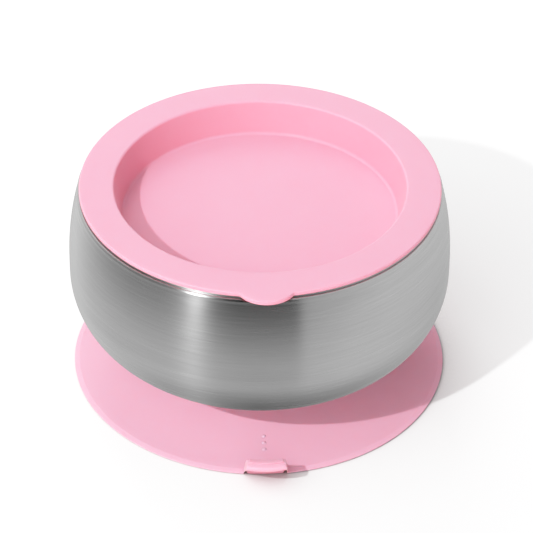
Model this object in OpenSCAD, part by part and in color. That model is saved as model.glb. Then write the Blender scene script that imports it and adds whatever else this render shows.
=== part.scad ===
// Suction bowl for babies: a double-walled steel bowl with a silicone lid, on a silicone suction base.
// Millimetres. +Z is up, the table is Z = 0, the bowl's axis is the Z axis, and both pull tabs point to -Y.

/* [Suction base] */
// Radius of the suction disc
disc_r = 63; // [61:0.5:66]
// Thickness of the disc at its rim
disc_rim_t = 1.0; // [0.8:0.1:1.2]
// Height of the disc's top surface where it meets the hub
disc_rise = 5.0; // [4:0.5:6]
// Radius of the hub that grips the bowl's foot
hub_r = 27.5; // [26:0.5:30]
// Width of the release tab
tab_w = 14.2; // [10:0.2:20]
// How far the release tab stands out past the disc's rim
tab_out = 8.6; // [6:0.1:9]
// Height of the release tab's ledge above the table
tab_z = 10.1; // [8:0.1:11]

/* [Steel bowl] */
// Largest radius of the steel bowl, at its belly
belly_r = 63.5; // [62:0.5:66]
// Height of the bowl's underside above the table
bowl_z = 14.1; // [13:0.1:16]
// Radius of the round corner under the belly
corner_r = 25.9; // [22:0.1:28]
// Radius of the long curve from the belly to the rim
side_r = 95; // [90:1:120]
// Height of the steel rim's top above the table
rim_z = 70.4; // [68:0.1:72]
// Radius of the bowl's mouth
mouth_r = 57; // [56:0.1:57.2]
// Thickness of the steel sheet
sheet = 0.6; // [0.4:0.1:0.8]
// Radius of the steel foot ring under the bowl
foot_r = 22; // [20:0.5:23]

/* [Lid] */
// Radius of the lid
lid_r = 59.6; // [59:0.1:61]
// Thickness of the lid's flange
flange_t = 1.6; // [1.2:0.1:2.4]
// Radius of the lid's well at the flange
well_r = 48; // [44:0.5:50]
// Depth of the well below the flange
well_depth = 11.5; // [8:0.5:14]
// Width of the lid's tab where it leaves the flange
lid_tab_w = 16.8; // [12:0.2:20]
// How far the lid's tab stands out past the flange
lid_tab_out = 4.1; // [3:0.1:8]

/* [Hidden] */
silicone = [0.98, 0.71, 0.79];
steel = [0.72, 0.72, 0.73];
turn_fn = 180;                                 // segments of a full turn
slip = 0.1;                                    // radial clearance of a sliding fit
rest_gap = 0.05;                               // height between two bodies that rest on each other
big = 200;                                     // larger than the whole object

// The suction base
lip_w = 5;                                     // flat lip that seals on the table
web = 1.2;                                     // thickness of the disc inside the lip
hub_top = bowl_z - rest_gap;
hub_fillet = 4;
hub_edge = 1;
hub_floor = 2;                                 // thickness under the socket
base_hinge_y = -57;                            // the rim bends along this line when the tab is pulled
tab_root = 58.4;                               // where the tab's back rises from the disc
tab_rise = 8.8;                                 // how far out the tab's back reaches its full height
tab_step_w = tab_w - 3;                        // width of the step on top of the tab's ledge
tab_step_h = 0.5;
tab_ledge = 2.2;                               // depth of the ledge in front of the step
tab_tip_r = 0.75;                              // radius of the tab's rounded tip
dot_r = 0.8;                                   // raised dots that point to the tab
dot_h = 0.35;
dot_y = [-45.5, -48.5, -51.5];

// The steel bowl
corner_x = belly_r - corner_r;
corner_z = bowl_z + corner_r;
side_z = corner_z + 5;                         // the wall is upright from corner_z to here
shoulder_r = 1.0;                              // bend from the side into the rim's flange
lip_z = rim_z - sheet;                         // underside of the inner bowl's lip
side_a = asin((lip_z - shoulder_r - side_z) / side_r);
side_top_r = belly_r - side_r * (1 - cos(side_a));
shoulder_x = side_top_r - shoulder_r;
plate_r = 34;                                  // hole in the shell's underside, closed by the base plate
plate_play = 0.05;
dish_r = 15;                                   // raised middle of the base plate
dish_h = 1.2;
foot_h = 4.9;
foot_t = 0.8;
foot_lip = 2.5;                                // the ring's foot turns inwards by this much
foot_bend = 1;
socket_z = bowl_z - foot_h - rest_gap;         // floor of the hub's socket
inner_r = mouth_r - 1.5;                       // the inner wall at the height of the belly
inner_floor = bowl_z + 6;
inner_corner = 25;
seal_depth = 7;                                // straight band of wall below the mouth
lip_bend = 0.9;                                // outer radius of the bend from the wall into the lip

// The lid
flange_z = rim_z + rest_gap;                   // underside of the flange
flange_edge = 0.5;                             // rounding of the flange's edge
lid_top = flange_z + flange_t;
well_draft = 2.2;                              // how much narrower the well is at its floor
well_fillet = 0.9;
floor_fillet = 1.2;
skin = 2;                                      // thickness of the well's wall and floor
skirt_r = mouth_r - 0.5;                       // the skirt hangs inside the bowl's mouth
skirt_t = 2;
skirt_h = 6.5;
skirt_taper = 0.4;
rib_out = mouth_r - slip - skirt_r;            // how far each sealing rib stands out
rib_half = 0.6;                                // half the height of a rib
rib_z = [2, 4.6];                              // the ribs' depths below the flange
lid_hinge_y = -58.4;                           // the lid's tab bends along this line

// Points along an arc about c from angle a to angle b, in n steps
function arc(c, r, a, b, n) =
    [for (i = [0:n]) c + r * [cos(a + (b - a) * i / n), sin(a + (b - a) * i / n)]];

// Height of the disc's top surface at distance r from the axis: nearly flat outside, rising to the hub
function disc_top(r) =
    disc_rim_t + (disc_rise - disc_rim_t) * pow((disc_r - r) / (disc_r - hub_r), 2);

// Height of the disc's underside: hollow like a shallow cup, and flat under the lip
function disc_under(r) =
    (disc_top(r) - web) * (1 - pow((r - hub_r) / (disc_r - lip_w - hub_r), 6));

module lathe(points) {
    rotate_extrude($fn = turn_fn) polygon(points);
}

// Everything in front of the line that a tab bends along
module front_of(y) {
    translate([-big / 2, y - big, -big / 2]) cube([big, big, big]);
}

// A bar across the front, with the given section: distance from the axis and height
module across(width, section) {
    translate([-width / 2, 0, 0]) rotate([90, 0, 90])
        linear_extrude(width) polygon([for (p = section) [-p.x, p.y]]);
}

// Full turned section of the disc and hub, before the front of the rim is parted off
module disc_and_hub() {
    rim = disc_rim_t / 2;
    under = [for (i = [0:10]) let (r = hub_r + (disc_r - lip_w - hub_r) * i / 10) [r, disc_under(r)]];
    top_run = disc_r - rim - hub_r - hub_fillet;
    top = [for (i = [1:14]) let (r = disc_r - rim - top_run * i / 14) [r, disc_top(r)]];
    lathe(concat(
        [[0, socket_z - hub_floor], [foot_r, socket_z - hub_floor]],
        under,
        arc([disc_r - rim, rim], rim, -90, 90, 6),
        top,
        arc([hub_r + hub_fillet, disc_top(hub_r + hub_fillet) + hub_fillet], hub_fillet, -96, -180, 6),
        arc([hub_r - hub_edge, hub_top - hub_edge], hub_edge, 0, 90, 4),
        arc([foot_r + slip + hub_edge, hub_top - hub_edge], hub_edge, 90, 180, 4),
        [[foot_r + slip, socket_z], [0, socket_z]]));
}

// The grip of the release tab: a lip that slopes up and out over the rim, with a narrower step on its ledge
module tab_grip() {
    tip = disc_r + tab_out - tab_tip_r;
    step_x = disc_r + tab_out - tab_ledge;
    back = tab_root + tab_rise;
    lip = concat(
        [[tab_root, disc_rim_t / 2], [tab_root, disc_top(tab_root)], [back, tab_z], [step_x, tab_z]],
        arc([tip, tab_z - tab_tip_r], tab_tip_r, 75, -50, 8),
        [[disc_r + 0.2, disc_rim_t], [disc_r - 1, disc_rim_t / 2]]);
    step = [[back, tab_z - 0.5], [back + 0.4, tab_z + tab_step_h],
        [step_x - 0.4, tab_z + tab_step_h], [step_x, tab_z - 0.5]];
    intersection() {
        union() {
            across(tab_w, lip);
            across(tab_step_w, step);
        }
        cylinder(h = big, r = disc_r + tab_out, center = true, $fn = turn_fn);
    }
}

module suction_base() {
    color(silicone) difference() {
        union() {
            disc_and_hub();
            for (y = dot_y)
                translate([0, y, disc_top(-y) - 0.5]) cylinder(h = 0.5 + dot_h, r = dot_r, $fn = 32);
        }
        front_of(base_hinge_y);
    }
}

module release_tab() {
    color(silicone) union() {
        intersection() {
            disc_and_hub();
            front_of(base_hinge_y);
        }
        tab_grip();
    }
}

// A short tube that stands in the hub's socket, with its foot turned inwards
module foot_ring() {
    z = bowl_z - foot_h;
    bend = [foot_r - foot_bend, z + foot_bend];
    color(steel) lathe(concat(
        [[foot_r - foot_lip, z]],
        arc(bend, foot_bend, -90, 0, 5),
        [[foot_r, bowl_z], [foot_r - foot_t, bowl_z]],
        arc(bend, foot_bend - foot_t, 0, -90, 3),
        [[foot_r - foot_lip, z + foot_t]]));
}

module base_plate() {
    color(steel) lathe([
        [0, bowl_z + dish_h], [dish_r - dish_h, bowl_z + dish_h], [dish_r, bowl_z],
        [plate_r - plate_play, bowl_z], [plate_r - plate_play, bowl_z + sheet],
        [dish_r, bowl_z + sheet], [dish_r - dish_h, bowl_z + dish_h + sheet], [0, bowl_z + dish_h + sheet]]);
}

// The outer wall: a round corner, an upright belly, a long curve inwards, and a flange under the inner lip
module outer_shell() {
    flange_in = mouth_r + sheet + plate_play;
    outside = concat(
        arc([corner_x, corner_z], corner_r, -90, 0, 18),
        arc([belly_r - side_r, side_z], side_r, 0, side_a, 8),
        arc([shoulder_x, lip_z - shoulder_r], shoulder_r, side_a + 12, 90, 5));
    inside = concat(
        arc([shoulder_x, lip_z - shoulder_r], shoulder_r - sheet, 90, side_a + 12, 5),
        arc([belly_r - side_r, side_z], side_r - sheet, side_a, 0, 8),
        arc([corner_x, corner_z], corner_r - sheet, 0, -90, 18));
    color(steel) lathe(concat(
        [[plate_r, bowl_z]],
        outside,
        [[flange_in, lip_z], [flange_in, lip_z - sheet]],
        inside,
        [[plate_r, bowl_z + sheet]]));
}

// The inner wall: a lip on the rim, a straight band for the lid's seal, a slight taper and a round floor
module inner_bowl() {
    corner = [inner_r - inner_corner, inner_floor + inner_corner];
    bend = [mouth_r + lip_bend, rim_z - lip_bend];
    lip_out = shoulder_x - 0.2;
    color(steel) lathe(concat(
        [[0, inner_floor]],
        arc(corner, inner_corner, -90, 0, 16),
        [[mouth_r, rim_z - seal_depth]],
        arc(bend, lip_bend, 180, 90, 5),
        [[lip_out - 0.2, rim_z], [lip_out, rim_z - 0.2], [lip_out, lip_z]],
        arc(bend, lip_bend - sheet, 90, 180, 4),
        [[mouth_r + sheet, rim_z - seal_depth]],
        arc(corner, inner_corner + sheet, 0, -90, 16),
        [[0, inner_floor - sheet]]));
}

// Full turned section of the lid: a floor, a steep well, a flat flange, and a skirt with two sealing ribs
module lid_section() {
    floor_z = lid_top - well_depth;
    floor_r = well_r - well_draft;
    draft_a = atan(well_draft / well_depth);
    floor_c = [floor_r - floor_fillet, floor_z + floor_fillet];
    edge_r = lid_r - flange_edge;
    rib = [[0, rib_half], [rib_out, 0], [0, -rib_half]];
    lathe(concat(
        [[0, floor_z]],
        arc(floor_c, floor_fillet, -90, -draft_a, 6),
        arc([well_r + well_fillet, lid_top - well_fillet], well_fillet, 180 - draft_a, 90, 6),
        arc([edge_r, lid_top - flange_edge], flange_edge, 90, 0, 4),
        arc([edge_r, flange_z + flange_edge], flange_edge, 0, -90, 4),
        [[skirt_r, flange_z]],
        [for (d = rib_z, p = rib) [skirt_r + p.x, flange_z - d + p.y]],
        [[skirt_r - skirt_taper, flange_z - skirt_h], [skirt_r - skirt_t, flange_z - skirt_h],
            [skirt_r - skirt_t, flange_z], [well_r + skin, flange_z]],
        arc(floor_c, floor_fillet + skin, -draft_a, -90, 6),
        [[0, floor_z - skin]]));
}

// The lid's tab is part of a disc that meets the flange's edge at the tab's full width
module lid_tab_plate() {
    half = lid_tab_w / 2;
    sag = lid_tab_out + lid_r - sqrt(lid_r * lid_r - half * half);
    r = (half * half + sag * sag) / (2 * sag);
    translate([0, r - lid_r - lid_tab_out, flange_z]) cylinder(h = flange_t, r = r, $fn = turn_fn);
}

module lid() {
    color(silicone) difference() {
        lid_section();
        front_of(lid_hinge_y);
    }
}

module lid_tab() {
    color(silicone) intersection() {
        union() {
            lid_section();
            lid_tab_plate();
        }
        front_of(lid_hinge_y);
    }
}

suction_base();
release_tab();
foot_ring();
base_plate();
outer_shell();
inner_bowl();
lid();
lid_tab();
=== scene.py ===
# Looks of the suction bowl: two silicone mouldings and a brushed steel bowl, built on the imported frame.
# Metres throughout. Angles round the bowl are measured from the front (-Y), positive towards +X.
import math

import bpy
from mathutils import Matrix, Vector


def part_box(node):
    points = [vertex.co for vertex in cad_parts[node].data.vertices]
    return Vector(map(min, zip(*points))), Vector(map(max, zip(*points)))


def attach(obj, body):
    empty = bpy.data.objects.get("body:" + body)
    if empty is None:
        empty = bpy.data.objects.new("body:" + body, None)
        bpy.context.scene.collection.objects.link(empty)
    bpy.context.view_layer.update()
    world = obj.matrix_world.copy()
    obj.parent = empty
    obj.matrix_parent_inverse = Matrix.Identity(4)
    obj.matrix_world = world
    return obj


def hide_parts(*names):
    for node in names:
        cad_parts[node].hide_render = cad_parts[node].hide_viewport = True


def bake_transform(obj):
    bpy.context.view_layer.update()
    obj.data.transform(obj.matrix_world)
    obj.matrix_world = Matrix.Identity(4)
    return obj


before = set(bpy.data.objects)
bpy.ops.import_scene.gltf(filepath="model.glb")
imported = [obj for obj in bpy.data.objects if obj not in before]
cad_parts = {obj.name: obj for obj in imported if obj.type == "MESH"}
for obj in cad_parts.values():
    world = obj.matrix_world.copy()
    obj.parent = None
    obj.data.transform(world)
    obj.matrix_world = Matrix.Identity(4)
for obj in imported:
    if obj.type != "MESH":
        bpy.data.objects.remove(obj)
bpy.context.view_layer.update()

MM = 0.001


def low(node):
    """Lowest corner of a CAD node's box."""
    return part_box(node)[0]


def high(node):
    """Highest corner of a CAD node's box."""
    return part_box(node)[1]


# Sizes that the frame gives
BELLY_R = high("outer_shell").x
BOWL_Z = low("outer_shell").z
RIM_Z = high("inner_bowl").z
RIM_R = high("inner_bowl").x
BOWL_FLOOR_Z = low("inner_bowl").z
PLATE_R = high("base_plate").x
PLATE_TOP_Z = high("base_plate").z
FOOT_R = high("foot_ring").x
FOOT_Z = low("foot_ring").z
DISC_R = high("suction_base").x
HUB_TOP_Z = high("suction_base").z
RELEASE_TIP_R = -low("release_tab").y
RELEASE_TOP_Z = high("release_tab").z
LID_R = high("lid").x
LID_TOP_Z = high("lid").z
LID_LOW_Z = low("lid").z
LID_TAB_TIP_R = -low("lid_tab").y
FLANGE_Z = low("lid_tab").z

# Sizes that the looks add or share with the CAD design
SHEET = 0.6 * MM                               # thickness of the steel
FIT = 0.05 * MM                                # gap between pieces that touch
CORNER_R = 25.9 * MM                           # round lower corner of the shell
SIDE_R = 95 * MM                               # long curve from the belly to the rim
SHOULDER_R = 1.0 * MM                          # turn-in under the inner bowl's lip
MOUTH_R = 57 * MM                              # inside of the bowl's mouth
SEAL_BAND = 7 * MM                             # height of the straight band below the mouth
SKIN = 2 * MM                                  # thickness of the lid
LID_TAB_W = 16.8 * MM                          # width of the lid's tab where it leaves the flange
HUB_R = 27.5 * MM                              # outside of the suction base's hub
TAB_FULL = 5.15                                # the release tab keeps its full section up to this angle,
TAB_END = 6.6                                  # and is down to the plain rim at this one, in degrees
STEP_HALF = 4.7                                # half the width of the step on its ledge, in degrees
TURNS = 360                                    # columns of a plain turned piece


# ---------------------------------------------------------------- shape helpers

def arc(centre, radius, start, end, steps):
    """Points (r, z) along an arc; angles in degrees from the +r direction."""
    out = []
    for i in range(steps + 1):
        a = math.radians(start + (end - start) * i / steps)
        out.append((centre[0] + radius * math.cos(a), centre[1] + radius * math.sin(a)))
    return out


def between(first, second, share):
    """The point at that share of the way from the first to the second."""
    return tuple(a + (b - a) * share for a, b in zip(first, second))


def held(value):
    """The value, held between 0 and 1."""
    return min(max(value, 0), 1)


def smooth_max(a, b, k):
    """The larger of a and b, rounded over a width k where they cross."""
    h = held(0.5 + 0.5 * (b - a) / k)
    return a * (1 - h) + b * h + k * h * (1 - h)


def lengths_along(points):
    """Distance of each point from the first, along the polyline."""
    total, out = 0.0, [0.0]
    for p, q in zip(points, points[1:]):
        total += math.dist(p, q)
        out.append(total)
    return out


def polyline_at(points, shares):
    """Points at the given shares of a polyline's length."""
    total = lengths_along(points)
    out, j = [], 0
    for share in shares:
        want = share * total[-1]
        while j < len(points) - 2 and total[j + 1] < want:
            j += 1
        span = max(total[j + 1] - total[j], 1e-12)
        out.append(between(points[j], points[j + 1], (want - total[j]) / span))
    return out


def from_front(angle):
    """The angle brought to between -pi and pi."""
    return math.atan2(math.sin(angle), math.cos(angle))


def evenly(turns=TURNS):
    """Angles all round, in equal steps."""
    return [2 * math.pi * i / turns for i in range(turns)]


def near_front(half, fine, coarse):
    """Angles all round, with fine steps up to half either side of the front; all in degrees."""
    front = [i * fine for i in range(-round(half / fine), round(half / fine) + 1)]
    rest = round((360 - 2 * half) / coarse)
    back = [half + (360 - 2 * half) * i / rest for i in range(1, rest)]
    return [math.radians(a) for a in front + back]


def turned(name, section, angles, closed=False, sharp=32):
    """A mesh turned about Z. section(angle) gives the outline (r, z) there, always with as many points.
    A point with r = 0 becomes a pole. closed joins the outline's last point to its first. Edges that bend
    by more than sharp degrees stay sharp."""
    base = section(math.pi)
    count = len(base)
    verts, index = [], {}
    for i, a in enumerate(angles):
        outline = section(a)
        for j, (r, z) in enumerate(outline):
            if base[j][0] < 1e-9:
                if (0, j) in index:
                    index[i, j] = index[0, j]
                    continue
                r = 0.0
            index[i, j] = len(verts)
            verts.append((r * math.sin(a), -r * math.cos(a), z))
    faces = []
    for i in range(len(angles)):
        k = (i + 1) % len(angles)
        for j in range(count if closed else count - 1):
            m = (j + 1) % count
            corners = [index[i, j], index[k, j], index[k, m], index[i, m]]
            face = [c for n, c in enumerate(corners) if c not in corners[:n]]
            if len(face) > 2:
                faces.append(face)
    mesh = bpy.data.meshes.new(name)
    mesh.from_pydata(verts, [], faces)
    along = lengths_along(base)
    layer = mesh.attributes.new("along", "FLOAT", "POINT")
    values = [0.0] * len(verts)
    for (i, j), v in index.items():
        values[v] = along[j]
    layer.data.foreach_set("value", values)
    mesh.polygons.foreach_set("use_smooth", [True] * len(mesh.polygons))
    mesh.set_sharp_from_angle(angle=math.radians(sharp))
    mesh.update()
    piece = bpy.data.objects.new(name, mesh)
    bpy.context.scene.collection.objects.link(piece)
    return piece


def joined(piece, others):
    """Joins the other objects' meshes into piece."""
    with bpy.context.temp_override(active_object=piece, object=piece,
                                   selected_editable_objects=[piece, *others],
                                   selected_objects=[piece, *others]):
        bpy.ops.object.join()
    return piece


# ---------------------------------------------------------------- node helpers

class Nodes:
    """A short way to write a node tree. An input is a number, a colour, a vector or a node's output."""

    def __init__(self, tree):
        self.tree = tree

    def give(self, node, **inputs):
        """Sets or links a node's inputs, by name with _ for a space, or by number after a _."""
        for key, value in inputs.items():
            socket = node.inputs[int(key[1:])] if key[0] == "_" else node.inputs[key.replace("_", " ")]
            if isinstance(value, bpy.types.NodeSocket):
                self.tree.links.new(value, socket)
            else:
                socket.default_value = value

    def add(self, kind, settings=None, **inputs):
        """A new node, with its own settings and its inputs."""
        node = self.tree.nodes.new(kind)
        for key, value in (settings or {}).items():
            setattr(node, key, value)
        self.give(node, **inputs)
        return node

    def maths(self, operation, *values):
        inputs = {f"_{i}": value for i, value in enumerate(values)}
        return self.add("ShaderNodeMath", {"operation": operation}, **inputs).outputs[0]

    def vectors(self, operation, *values, **inputs):
        inputs.update({f"_{i}": value for i, value in enumerate(values)})
        return self.add("ShaderNodeVectorMath", {"operation": operation}, **inputs).outputs[0]

    def split(self, vector):
        """The X, Y and Z of a vector."""
        return list(self.add("ShaderNodeSeparateXYZ", Vector=vector).outputs)

    def ramp(self, value, *stops):
        """Maps value through (position, number) stops, linearly, and gives a number."""
        node = self.add("ShaderNodeValToRGB", Fac=value)
        ramp = node.color_ramp
        for _ in stops[2:]:
            ramp.elements.new(0.5)
        for element, (position, number) in zip(ramp.elements, stops):
            element.position = position
            element.color = (number, number, number, 1)
        return node.outputs["Color"]

    def mixed(self, factor, first, second, blend="MIX"):
        """The first colour, changed into the second, or by it, as far as factor says."""
        settings = {"data_type": "RGBA", "blend_type": blend}
        return self.add("ShaderNodeMix", settings, Factor=factor, A=first, B=second).outputs["Result"]


class Finish(Nodes):
    """A new material, written through its node tree. place is a point of the object, in metres."""

    def __init__(self, name):
        self.material = bpy.data.materials.new(name)
        self.material.use_nodes = True
        super().__init__(self.material.node_tree)
        self.place = self.add("ShaderNodeTexCoord").outputs["Object"]

    def noise(self, place, scale, detail, roughness):
        inputs = {"Vector": place, "Scale": scale, "Detail": detail, "Roughness": roughness}
        return self.add("ShaderNodeTexNoise", **inputs).outputs["Fac"]

    def openness(self, reach, samples, **inputs):
        """1 in the open, and less where something stands within reach."""
        node = self.add("ShaderNodeAmbientOcclusion", {"samples": samples}, Distance=reach, **inputs)
        return node.outputs["AO"]

    def bump(self, height, strength, distance, **inputs):
        inputs.update({"Height": height, "Strength": strength, "Distance": distance})
        return self.add("ShaderNodeBump", **inputs).outputs["Normal"]

    def shader(self, **inputs):
        """Sets the surface shader's inputs and gives the finished material."""
        self.give(self.tree.nodes["Principled BSDF"], **inputs)
        return self.material


def grey(level):
    return (level, level, level, 1)


# ---------------------------------------------------------------- materials

def silicone(name, colour, shade):
    """Soft matte silicone: faint clouding, a satin grain, a soft sheen, and painted shade: deeper colour
    painted on upright faces, and darker colour painted on undersides and in hollows, where shade falls."""
    n = Finish(name)
    cloud = n.noise(n.place, 28.0, 3.0, 0.55)
    grain = n.noise(n.place, 2600.0, 2.0, 0.6)
    ripple = n.noise(n.place, 120.0, 2.0, 0.5)
    flat = n.mixed(n.ramp(cloud, (0.3, 0.0), (0.7, 1.0)), colour, shade)
    # painted shade: a deeper, darker copy of the colour for upright faces
    upright = (colour[0] * 0.98, colour[1] * 0.80, colour[2] * 0.80, 1)
    # painted shade: a much darker copy of the colour for hollows and undersides
    hollow = (colour[0] * 0.62, colour[1] * 0.40, colour[2] * 0.40, 1)
    level = n.split(n.add("ShaderNodeNewGeometry").outputs["Normal"])[2]
    # painted shade: faces that stand upright get the upright copy, level faces keep the plain colour
    even = n.mixed(n.ramp(n.maths("ABSOLUTE", level), (0.25, 0.0), (0.85, 1.0)), upright, flat)
    # painted shade mask: faces turned downward are darkened
    painted_underside_shade_mask = n.ramp(n.maths("MULTIPLY_ADD", level, 0.5, 0.5), (0.25, 0.2), (0.50, 1.0))
    # painted shade mask: 1 in the open, falling towards the dark copy near walls and on undersides
    light = n.maths("MINIMUM", n.ramp(n.openness(5 * MM, 3), (0.05, 0.0), (0.55, 1.0)), painted_underside_shade_mask)
    rough = n.maths("ADD", n.maths("MULTIPLY", grain, 0.10), n.maths("MULTIPLY_ADD", cloud, 0.08, 0.40))
    fine = n.bump(grain, 0.12, 0.05 * MM)
    # base colour with the painted shade mixed in
    return n.shader(Base_Color=n.mixed(light, hollow, even), Roughness=rough, IOR=1.41,
                    Specular_IOR_Level=0.4, Subsurface_Weight=0.5, Subsurface_Radius=(1.0, 0.4, 0.35),
                    Subsurface_Scale=2.0 * MM, Sheen_Weight=0.08, Sheen_Roughness=0.5,
                    Normal=n.bump(ripple, 0.15, 0.06 * MM, Normal=fine))


def brushed_steel(name, tone, roughness, anisotropy):
    """Steel brushed round the bowl: fine streaks that follow the turning, highlights drawn across them, and
    painted shade: a darker band just under the rim, where the lid's flange meets the steel."""
    n = Finish(name)
    along = n.add("ShaderNodeAttribute", {"attribute_name": "along"}).outputs["Fac"]
    outward = n.vectors("NORMALIZE", n.vectors("MULTIPLY", n.place, (1, 1, 0)))

    def streaks(length, width, detail):
        """Noise drawn out round the bowl, narrow along the outline: length in radians, width in metres."""
        turn = n.vectors("SCALE", outward, Scale=1 / length)
        rise = n.add("ShaderNodeCombineXYZ", Z=n.maths("MULTIPLY", along, 1 / width)).outputs[0]
        return n.noise(n.vectors("ADD", turn, rise), 1.0, detail, 0.6)

    fine = streaks(0.16, 0.10 * MM, 2.0)
    broad = streaks(0.35, 0.55 * MM, 3.0)
    long = streaks(0.9, 1.8 * MM, 2.0)
    coarse = n.maths("MULTIPLY_ADD", broad, 0.4, n.maths("MULTIPLY", long, 0.2))
    brushing = n.maths("MULTIPLY_ADD", fine, 0.4, coarse)
    wear = n.noise(n.place, 45.0, 4.0, 0.6)
    worn = n.maths("MULTIPLY_ADD", wear, 0.04, roughness - 0.07)
    bright = n.mixed(n.ramp(brushing, (0.35, 0.0), (0.65, 1.0)), grey(tone * 0.84), grey(tone))
    # painted shade: the top 0.5 mm below the rim is darkened to grey, standing in for the flange's contact
    # shadow
    below_rim = n.maths("SUBTRACT", RIM_Z - 0.5 * MM, n.split(n.place)[2])
    clear = n.ramp(n.maths("MULTIPLY", below_rim, 1 / (0.3 * MM)), (0.0, 0.0), (1.0, 1.0))
    tangent = n.add("ShaderNodeTangent", {"direction_type": "RADIAL", "axis": "Z"}).outputs["Tangent"]
    # base colour: the painted shade band under the rim, brushed tone below it
    return n.shader(Base_Color=n.mixed(clear, grey(0.42), bright), Metallic=1.0,
                    Roughness=n.maths("MULTIPLY_ADD", brushing, 0.10, worn), Anisotropic=anisotropy,
                    Anisotropic_Rotation=0.25, Tangent=tangent, Normal=n.bump(brushing, 0.10, 0.02 * MM))


def floor_paper(name):
    """Pale seamless studio paper with a painted glow that fades near the object, and a painted shadow where
    the object stands between the paper and the key lamp.
    """
    n = Finish(name)
    mottle = n.noise(n.place, 6.0, 3.0, 0.5)
    # painted shadow: occlusion looked for towards the key lamp darkens the paper like the key's cast shadow
    towards_key = n.add("ShaderNodeCombineXYZ", X=-0.50, Y=-0.60, Z=0.62).outputs[0]
    painted_key_shadow_mask = n.ramp(n.openness(14 * MM, 4, Normal=towards_key), (0.42, 0.15), (0.85, 1.0))
    paper = n.mixed(mottle, grey(0.90), grey(0.92))
    # painted glow: the paper emits light, dimmed near the object like painted shade
    glow = n.maths("MULTIPLY", n.maths("POWER", n.openness(45 * MM, 4), 1.6), 0.20)
    return n.shader(Base_Color=n.mixed(painted_key_shadow_mask, grey(0), paper), Specular_IOR_Level=0.0,
                    Roughness=n.maths("MULTIPLY_ADD", mottle, 0.05, 0.9), Emission_Color=grey(1),
                    Emission_Strength=n.maths("MULTIPLY", glow, painted_key_shadow_mask))


# ---------------------------------------------------------------- steel bowl

def outer_shell():
    """The brushed outer wall: round corner, upright belly and long curve to the rim, then its inner side."""
    corner = (BELLY_R - CORNER_R, BOWL_Z + CORNER_R)
    side = (BELLY_R - SIDE_R, corner[1] + 5 * MM)
    lip_z = RIM_Z - SHEET
    rise = math.degrees(math.asin((lip_z - SHOULDER_R - side[1]) / SIDE_R))
    top_r = side[0] + SIDE_R * math.cos(math.radians(rise))
    shoulder = (top_r - SHOULDER_R * math.cos(math.radians(rise)), lip_z - SHOULDER_R)
    flange_in = MOUTH_R + SHEET + FIT
    hole_r = PLATE_R + FIT
    outside = ([(hole_r, BOWL_Z)] + arc(corner, CORNER_R, -90, 0, 56)
               + [(BELLY_R, corner[1] + i * MM) for i in (1, 2, 3, 4)]
               + arc(side, SIDE_R, 0, rise, 30) + arc(shoulder, SHOULDER_R, rise, 90, 10)[1:])
    inside = (arc(shoulder, SHOULDER_R - SHEET, 90, rise, 4) + arc(side, SIDE_R - SHEET, rise, 0, 12)
              + arc(corner, CORNER_R - SHEET, 0, -90, 20))
    outline = (outside + [(flange_in, lip_z), (flange_in, lip_z - SHEET)] + inside
               + [(hole_r, BOWL_Z + SHEET)])
    return turned("outer_shell_brushed", lambda a: outline, evenly(), closed=True)


def inner_bowl():
    """The inner wall with its rolled lip, the straight band for the seal and the round floor."""
    inner_r = MOUTH_R - 1.5 * MM
    floor_z = BOWL_FLOOR_Z + SHEET
    radius = 25 * MM
    corner = (inner_r - radius, floor_z + radius)
    band = (MOUTH_R, RIM_Z - SEAL_BAND)
    bend_r = 0.9 * MM
    bend = (MOUTH_R + bend_r, RIM_Z - bend_r)
    edge = 0.28 * MM
    inside = ([(r * MM, floor_z) for r in (0, 6, 12, 18, 24)] + arc(corner, radius, -90, 0, 40)
              + [between((inner_r, corner[1]), band, t) for t in (0.25, 0.5, 0.75, 1)]
              + arc(bend, bend_r, 180, 90, 10))
    lip = arc((RIM_R - edge, RIM_Z - edge), edge, 90, 0, 6) + [(RIM_R, RIM_Z - SHEET)]
    outside = (arc(bend, bend_r - SHEET, 90, 180, 4) + [(MOUTH_R + SHEET, RIM_Z - SEAL_BAND)]
               + arc(corner, radius + SHEET, 0, -90, 20) + [(0, floor_z - SHEET)])
    outline = inside + lip + outside
    return turned("inner_bowl_satin", lambda a: outline, evenly())


def base_plate():
    """The disc that closes the shell from below, with a raised middle and a spun step."""
    z, top = BOWL_Z, PLATE_TOP_Z - SHEET
    step_in, step_out, bend = 13 * MM, 15.4 * MM, 0.8 * MM
    outline = ([(0, top), (12.6 * MM, top)] + arc((step_in, top - bend), bend, 90, 40, 4)
               + arc((step_out, z + bend), bend, 220, 270, 4)
               + [(PLATE_R, z), (PLATE_R, z + SHEET), (15.2 * MM, z + SHEET), (step_in, top + SHEET),
                  (0, top + SHEET)])
    return turned("base_plate_satin", lambda a: outline, evenly(TURNS // 2))


def foot_ring():
    """The short ring that stands in the silicone hub."""
    wall, lip, bend = 0.8 * MM, 2.5 * MM, 1.0 * MM
    centre = (FOOT_R - bend, FOOT_Z + bend)
    outline = (arc((FOOT_R - lip + 0.35 * MM, FOOT_Z + 0.4 * MM), 0.4 * MM, 180, 270, 4)
               + arc(centre, bend, -90, 0, 8) + [(FOOT_R, BOWL_Z), (FOOT_R - wall, BOWL_Z)]
               + arc(centre, bend - wall, 0, -90, 3) + [(FOOT_R - lip, FOOT_Z + wall)])
    return turned("foot_ring_satin", lambda a: outline, evenly(TURNS // 2), closed=True)


# ---------------------------------------------------------------- lid

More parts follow.
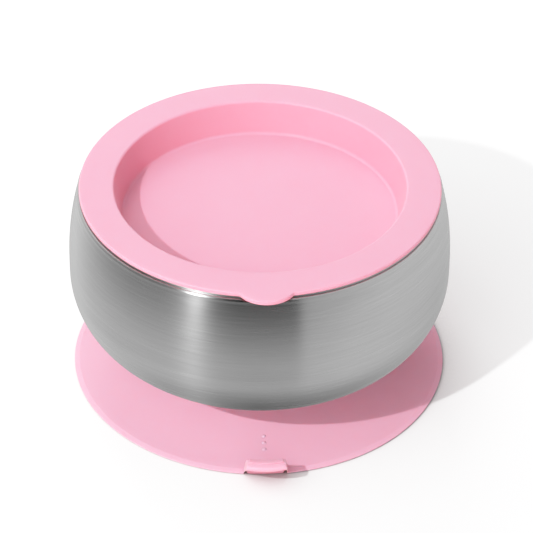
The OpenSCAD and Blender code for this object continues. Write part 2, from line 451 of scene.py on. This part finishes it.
def lid_edge_r(angle):
    """Distance from the axis to the lid's edge: the flange's circle, and the tab's arc at the front."""
    half = LID_TAB_W / 2
    out = LID_TAB_TIP_R - LID_R
    sag = out + LID_R - math.sqrt(LID_R ** 2 - half ** 2)
    radius = (half ** 2 + sag ** 2) / (2 * sag)
    centre = LID_TAB_TIP_R - radius
    turn = from_front(angle)
    room = radius ** 2 - (centre * math.sin(turn)) ** 2
    if abs(turn) > 0.5 or room <= 0:
        return LID_R
    return min(smooth_max(LID_R, centre * math.cos(turn) + math.sqrt(room), 0.5 * MM), LID_TAB_TIP_R)


def lid_outline(angle):
    """The lid's outline there: well, flange, edge, skirt with its ribs, and the underside of the well."""
    floor_z = LID_LOW_Z + SKIN
    well_r, draft, depth = 48 * MM, 2.2 * MM, LID_TOP_Z - floor_z
    lean = math.degrees(math.atan(draft / depth))
    well_fillet, floor_fillet, edge = 0.9 * MM, 1.2 * MM, 0.42 * MM
    corner = (well_r - draft - floor_fillet, floor_z + floor_fillet)
    skirt_r, skirt_h, skirt_t = MOUTH_R - 0.5 * MM, 6.5 * MM, 2 * MM
    skirt_in = skirt_r - skirt_t
    shift = lid_edge_r(angle) - LID_R
    flat_in, flat_out = well_r + well_fillet, LID_R - edge

    def moved(points):
        """Points of the flange, moved out with the tab."""
        return [(r + shift * held((r - MOUTH_R) / (flat_out - MOUTH_R)), z) for r, z in points]

    top = ([(r * MM, floor_z) for r in (0, 8, 16, 24, 32, 38)] + arc(corner, floor_fillet, -90, -lean, 12)
           + arc((flat_in, LID_TOP_Z - well_fillet), well_fillet, 180 - lean, 90, 12))
    flange = moved((flat_in + (flat_out - flat_in) * t, LID_TOP_Z) for t in (0.25, 0.5, 0.7, 0.8, 0.9))
    parting_z = (LID_TOP_Z + FLANGE_Z) / 2
    rim = moved(arc((flat_out, LID_TOP_Z - edge), edge, 90, 0, 6)
                + [(LID_R, parting_z + 0.09 * MM), (LID_R, parting_z), (LID_R, parting_z - 0.09 * MM)]
                + arc((flat_out, FLANGE_Z + edge), edge, 0, -90, 6))
    under_in = skirt_r + 0.6 * MM
    under = moved((flat_out + (under_in - flat_out) * t, FLANGE_Z) for t in (0.3, 0.6, 0.85, 1))
    skirt = [(skirt_r, FLANGE_Z - 0.5 * MM)]
    for rib_depth in (2.0 * MM, 4.6 * MM):
        rib = arc((skirt_r - 0.2 * MM, FLANGE_Z - rib_depth), 0.6 * MM, 70, -70, 6)
        skirt += [(min(r, MOUTH_R - 0.1 * MM), z) for r, z in rib]
    skirt += arc((skirt_r - 1.2 * MM, FLANGE_Z - skirt_h + 0.8 * MM), 0.8 * MM, 0, -180, 8)
    inner = ([(skirt_in, FLANGE_Z - 0.5 * MM), (skirt_in - 0.5 * MM, FLANGE_Z),
              (well_r + SKIN + 0.8 * MM, FLANGE_Z)]
             + arc(corner, floor_fillet + SKIN, -lean, -90, 8) + [(0, floor_z - SKIN)])
    return top + flange + rim + under + skirt + inner


def lid():
    return turned("lid_silicone", lid_outline, near_front(14, 0.2, 1.0), sharp=40)


# ---------------------------------------------------------------- suction base

def disc_top(r):
    """Height of the disc's top surface: nearly flat outside, rising to the hub."""
    rim_t, rise = 1.0 * MM, 5.0 * MM
    return rim_t + (rise - rim_t) * ((DISC_R - r) / (DISC_R - HUB_R)) ** 2


def on_disc(*radii):
    """Points of the disc's top surface."""
    return [(r * MM, disc_top(r * MM)) for r in radii]


def rim_outline():
    """The plain rim, from its flat lip round the edge and up the bevel to the disc's top."""
    edge = 0.38 * MM
    bevel_r = DISC_R - 1.7 * MM
    bevel_z = disc_top(bevel_r) + 0.12 * MM
    return ([(58 * MM, 0), (60 * MM, 0), (DISC_R - edge, 0)]
            + arc((DISC_R - edge, edge), edge, -90, 50, 8)
            + arc((bevel_r - 0.1 * MM, bevel_z - 0.6 * MM), 0.6 * MM, 62, 92, 5)
            + on_disc(60, 58.4, 57))


def tab_outline(step):
    """The release tab's outline: a lip that curls out of the rim, a ledge with a step, and its back."""
    tip_r = 1.0 * MM
    ledge_z = RELEASE_TOP_Z - 0.5 * MM
    tip = (RELEASE_TIP_R - tip_r, ledge_z - tip_r)
    step_r, back_r = RELEASE_TIP_R - 2.2 * MM, 67.2 * MM
    raised = 0.5 * MM * step
    curl = 5.2 * MM
    heel, heel_r = 59.1 * MM, 2.4 * MM
    return ([(58 * MM, 0), (60 * MM, 0), (DISC_R - 1.2 * MM, 0)]
            + arc((DISC_R - 1.0 * MM, 0.7 * MM), 0.7 * MM, -90, 0, 5)
            + arc((DISC_R + curl, 2.9 * MM), curl, 180, 96, 9)
            + arc(tip, tip_r, -84, 74, 12)
            + [(step_r + 0.25 * MM, ledge_z), (step_r, ledge_z + 0.12 * raised),
               (step_r - 0.12 * MM, ledge_z + raised), (step_r - 0.3 * MM, ledge_z + raised),
               (back_r + 0.7 * MM, ledge_z + raised), (back_r + 0.3 * MM, ledge_z + 0.7 * raised),
               (back_r - 0.2 * MM, ledge_z - 0.3 * MM)]
            + arc((heel, disc_top(heel) + heel_r), heel_r, -47, -100, 7)
            + on_disc(57.6, 57))


def front_outline(turn):
    """The rim at turn degrees from the front, with as much of the release tab as there is."""
    lengths = lengths_along(tab_outline(0))
    rim = polyline_at(rim_outline(), [length / lengths[-1] for length in lengths])
    if turn >= TAB_END:
        return rim
    share = 1 - max((turn - TAB_FULL) / (TAB_END - TAB_FULL), 0) ** 1.5
    shrink = 0.7 * MM * (turn / TAB_FULL) ** 2
    tab = [(r - shrink * max(0, (r - DISC_R) / (RELEASE_TIP_R - DISC_R)), z)
           for r, z in tab_outline(held((STEP_HALF + 0.15 - turn) / 0.3))]
    return [between(p, q, share) for p, q in zip(rim, tab)]


def base_outline(angle):
    """The suction base's outline there: hollow underside, rim, disc, and the hub with its socket."""
    web, lip_w, columns = 1.15 * MM, 5 * MM, 14
    hollow_r = DISC_R - lip_w
    socket_z, socket_r = FOOT_Z - FIT, FOOT_R + 0.1 * MM
    hub_fillet, hub_edge = 4 * MM, 1 * MM
    under = [(0, socket_z - 2 * MM), (12 * MM, socket_z - 2 * MM), (20 * MM, socket_z - 2.1 * MM)]
    for i in range(columns):
        share = i / columns
        r = HUB_R + (hollow_r - HUB_R) * share
        under.append((r, (disc_top(r) - web) * (1 - share ** 6)))
    fillet_r = HUB_R + hub_fillet
    hub = (arc((fillet_r, disc_top(fillet_r) + hub_fillet), hub_fillet, -97, -180, 8)
           + arc((HUB_R - hub_edge, HUB_TOP_Z - hub_edge), hub_edge, 0, 90, 6)
           + arc((socket_r + hub_edge, HUB_TOP_Z - hub_edge), hub_edge, 90, 180, 6)
           + [(socket_r, socket_z + 0.4 * MM), (socket_r - 0.4 * MM, socket_z), (10 * MM, socket_z),
              (0, socket_z)])
    front = front_outline(abs(math.degrees(from_front(angle))))
    return under + front + on_disc(55.5, 53.5, 51, 48.5, 46, 43, 40, 37, 34) + hub


def guide_dot(distance):
    """A low rounded dot, with a soft foot that runs out into the disc."""
    radius, height = 0.8 * MM, 0.35 * MM
    z = disc_top(distance)
    slopes = [math.radians(d) for d in (15, 30, 45, 60, 75)]
    outline = ([(0, z + height)]
               + [(radius * math.sin(a) * 0.8, z + height * math.cos(a) ** 0.8) for a in slopes]
               + [(radius * 0.95, z + 0.02 * MM), (radius * 1.05, z - 0.1 * MM)])
    dot = turned("dot", lambda a: outline, evenly(24), sharp=80)
    dot.data.flip_normals()
    dot.data.transform(Matrix.Translation((0, -distance, 0)))
    return dot


def suction_base():
    """The moulding, with three dots in a row behind the tab."""
    piece = turned("suction_base_silicone", base_outline, near_front(10, 0.1, 1.0), sharp=50)
    return joined(piece, [guide_dot(d * MM) for d in (45.5, 48.5, 51.5)])


# ---------------------------------------------------------------- assembly

lid_pink = silicone("silicone_lid", (0.80, 0.325, 0.440, 1), (0.78, 0.312, 0.423, 1))
base_pink = silicone("silicone_base", (0.84, 0.372, 0.494, 1), (0.82, 0.358, 0.476, 1))
brushed = brushed_steel("steel_brushed", 0.50, 0.262, 0.96)
satin = brushed_steel("steel_satin", 0.52, 0.36, 0.7)


def finished(piece, material, body, slot, *nodes):
    """Puts a piece in place of its CAD nodes, with its material, and on a body if one is named. slot is not
    used.
    """
    piece.data.materials.clear()
    piece.data.materials.append(material)
    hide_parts(*nodes)
    if body:
        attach(piece, body)
    return piece


finished(outer_shell(), brushed, "bowl", "steel", "outer_shell")
finished(inner_bowl(), satin, "bowl", "steel", "inner_bowl")
finished(base_plate(), satin, "bowl", "steel", "base_plate")
finished(foot_ring(), satin, "bowl", "steel", "foot_ring")

lid_piece = finished(lid(), lid_pink, None, "silicone", "lid", "lid_tab")
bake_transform(lid_piece)
base_piece = finished(suction_base(), base_pink, None, "silicone", "suction_base", "release_tab")
base_piece.visible_glossy = False              # the photographed steel shows no pink
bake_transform(base_piece)


# ---------------------------------------------------------------- floor and lights

TURN = math.radians(-2.5)                      # the camera and lights stand this far round from the tabs


def turned_point(x, y, z):
    """A point or direction of the studio: x to the camera's right, y away from it, z up."""
    return Matrix.Rotation(TURN, 3, "Z") @ Vector((x, y, z))


def floor():
    half = 6.0
    mesh = bpy.data.meshes.new("floor")
    corners = [(-half, -half, 0), (half, -half, 0), (half, half, 0), (-half, half, 0)]
    mesh.from_pydata(corners, [], [(0, 1, 2, 3)])
    mesh.materials.append(floor_paper("studio_paper"))
    plane = bpy.data.objects.new("floor", mesh)
    bpy.context.scene.collection.objects.link(plane)
    plane.location.z = -0.02 * MM
    plane.visible_glossy = False


def lamp(name, kind, place, energy):
    """A new lamp at a point of the studio."""
    light = bpy.data.lights.new(name, kind)
    light.energy = energy
    made = bpy.data.objects.new(name, light)
    made.location = turned_point(*place)
    bpy.context.scene.collection.objects.link(made)
    return made


def key_light():
    """A small bright lamp at the front left, which draws the shadow's edge."""
    key = lamp("key", "POINT", (-0.648, -0.790, 0.895), 57.5)
    key.data.shadow_soft_size = 0.018


def back_light():
    """A soft panel behind the bowl, which lifts the far side of the lid."""
    back = lamp("back", "AREA", (-0.12, 0.46, 0.45), 2.2)
    back.data.shape = "SQUARE"
    back.data.size = 0.35
    back.rotation_mode = "QUATERNION"
    back.rotation_quaternion = (Vector((0, 0, 0.07)) - back.location).to_track_quat("-Z", "Y")
    back.visible_glossy = False


# ---------------------------------------------------------------- world

def looks_towards(n, direction, way):
    """How far the direction looks along the unit vector way."""
    terms = [n.maths("MULTIPLY", part, w) for part, w in zip(direction, way)]
    return n.maths("ADD", n.maths("ADD", terms[0], terms[1]), terms[2])


def bearing(degrees):
    """A bearing from the camera's side, positive to the right, as a share of the full turn."""
    return degrees / 360 + 0.5


def mirrored_studio(n, direction):
    """What the steel mirrors: a dark side behind the camera, a pale panel on the right, a darker left, and
    white paper behind and below."""
    across = looks_towards(n, direction, turned_point(1, 0, 0))
    ahead = looks_towards(n, direction, turned_point(0, -1, 0))
    azimuth = n.maths("MULTIPLY_ADD", n.maths("ARCTAN2", across, ahead), 0.5 / math.pi, 0.5)
    height = n.maths("MULTIPLY_ADD", n.maths("ARCSINE", direction[2]), 1 / math.pi, 0.5)
    walls = n.ramp(azimuth, (0, 1.18), (bearing(-150), 1.32), (bearing(-130), 1.05),
                   (bearing(-108), 0.55), (bearing(-92), 0.34), (bearing(-75), 0.24),
                   (bearing(-56), 0.24), (bearing(-36), 0.33), (bearing(-24), 0.06),
                   (bearing(-12), 0.0), (bearing(21), 0.0), (bearing(26), 0.54),
                   (bearing(48), 0.72), (bearing(76), 0.98), (1, 1.18))
    paper = n.ramp(azimuth, (0, 0.42), (bearing(-164), 0.50), (bearing(-146), 1.12),
                   (bearing(-100), 1.14), (bearing(-50), 1.12), (bearing(0), 1.10),
                   (bearing(60), 1.15), (bearing(100), 0.95), (bearing(140), 0.68), (1, 0.42))
    straight_down = n.ramp(height, (0.06, 0.28), (0.14, 0.50), (0.20, 0.82), (0.26, 1.0))
    behind = n.ramp(azimuth, (0, 1.0), (bearing(-164), 1.0), (bearing(-152), 0.0),
                    (bearing(152), 0.0), (bearing(164), 1.0))
    wall_share = n.ramp(height, (0.28, 0.0), (0.36, 0.52), (0.41, 0.96), (0.44, 1.0))
    wall_share_behind = n.ramp(height, (0.44, 0.0), (0.50, 1.0))
    change = n.maths("SUBTRACT", wall_share_behind, wall_share)
    share = n.maths("MULTIPLY_ADD", behind, change, wall_share)
    return n.mixed(share, n.maths("MULTIPLY", paper, straight_down), walls)


def soft_dome(n, direction):
    """Strength of the soft light: wide on the left, low on the right, and stronger near the key lamp and in
    front."""

    def glow(way, power):
        """A round patch of light that fades away from the unit vector way."""
        near = looks_towards(n, direction, turned_point(*way))
        return n.maths("POWER", n.maths("MAXIMUM", near, 0.0), power)

    z = direction[2]
    rightward = n.maths("MULTIPLY_ADD", looks_towards(n, direction, turned_point(1, 0, 0)), 0.5, 0.5)
    left = n.ramp(rightward, (0, 1.0), (0.35, 1.0), (0.50, 0.72), (0.68, 0.25), (0.85, 0.0))
    left = n.maths("MULTIPLY", n.maths("MULTIPLY", left, 1.20), n.maths("MULTIPLY_ADD", z, -0.75, 1.0))
    right = n.ramp(rightward, (0.45, 0), (0.8, 1))
    low_right = n.maths("MULTIPLY", n.ramp(z, (0.0, 1.0), (0.3, 0.8), (0.6, 0.0)), right)
    soft = n.maths("MULTIPLY_ADD", low_right, 0.8, left)
    soft = n.maths("MULTIPLY_ADD", glow((-0.50, -0.58, 0.64), 6.0), 2.2, soft)
    return n.maths("MULTIPLY_ADD", glow((0.08, -0.92, 0.38), 4.0), 1.8, soft)


def studio_world():
    """A soft dome for light, the studio for reflections, with a rosy tint once the light has bounced off the
    object, and an even pale backdrop."""
    world = bpy.data.worlds.new("studio")
    bpy.context.scene.world = world
    world.use_nodes = True
    world.cycles.sampling_method = "NONE"
    n = Nodes(world.node_tree)
    n.tree.nodes.clear()
    direction = n.split(n.add("ShaderNodeTexCoord").outputs["Generated"])
    rays = n.add("ShaderNodeLightPath").outputs
    bounced = n.maths("MINIMUM", rays["Diffuse Depth"], 1.0)
    mirrored = n.mixed(bounced, mirrored_studio(n, direction), (1.30, 0.84, 0.88, 1), "MULTIPLY")

    def background(**inputs):
        return n.add("ShaderNodeBackground", **inputs).outputs[0]

    def either(ray, other, this):
        """This background for rays of one kind, and the other for the rest."""
        return n.add("ShaderNodeMixShader", Fac=rays[ray], _1=other, _2=this).outputs[0]

    dome = background(Color=grey(0.8), Strength=soft_dome(n, direction))
    around = either("Is Glossy Ray", dome, background(Color=mirrored))
    seen = either("Is Camera Ray", around, background(Color=grey(1), Strength=1.15))
    n.add("ShaderNodeOutputWorld", Surface=seen)


# ---------------------------------------------------------------- camera

def camera():
    """At the photograph's angle: 37 degrees up, with a long lens, rolled by 0.6 degrees."""
    up = math.radians(37.0)
    roll = math.radians(0.6)
    distance = 1.0184
    back = turned_point(0, -math.cos(up), math.sin(up))
    side = turned_point(1, 0, 0)
    upright = back.cross(side)
    target = Vector((0, 0, 35.64 * MM)) + side * 2.345 * MM + upright * 1.78 * MM
    data = bpy.data.cameras.new("camera")
    data.sensor_width = 36
    data.lens = 204.8
    data.clip_start, data.clip_end = 0.1, 30
    cam = bpy.data.objects.new("camera", data)
    bpy.context.scene.collection.objects.link(cam)
    level = Matrix((side, upright, back)).transposed().to_4x4()
    cam.matrix_world = Matrix.Translation(target + back * distance) @ level @ Matrix.Rotation(roll, 4, "Z")
    bpy.context.scene.camera = cam


def tones():
    """A camera's soft shoulder: tones over about 0.5 are eased, and white is reached at 1.5."""
    view = bpy.context.scene.view_settings
    view.view_transform = "Standard"
    view.use_curve_mapping = True
    view.curve_mapping.clip_max_x = 2.0
    curve = view.curve_mapping.curves[3]
    curve.points[-1].location = (1.5, 1.0)
    for place in ((0.45, 0.45), (0.75, 0.69), (1.0, 0.84), (1.3, 0.955)):
        curve.points.new(*place)
    view.curve_mapping.update()


floor()
key_light()
back_light()
studio_world()
camera()
tones()
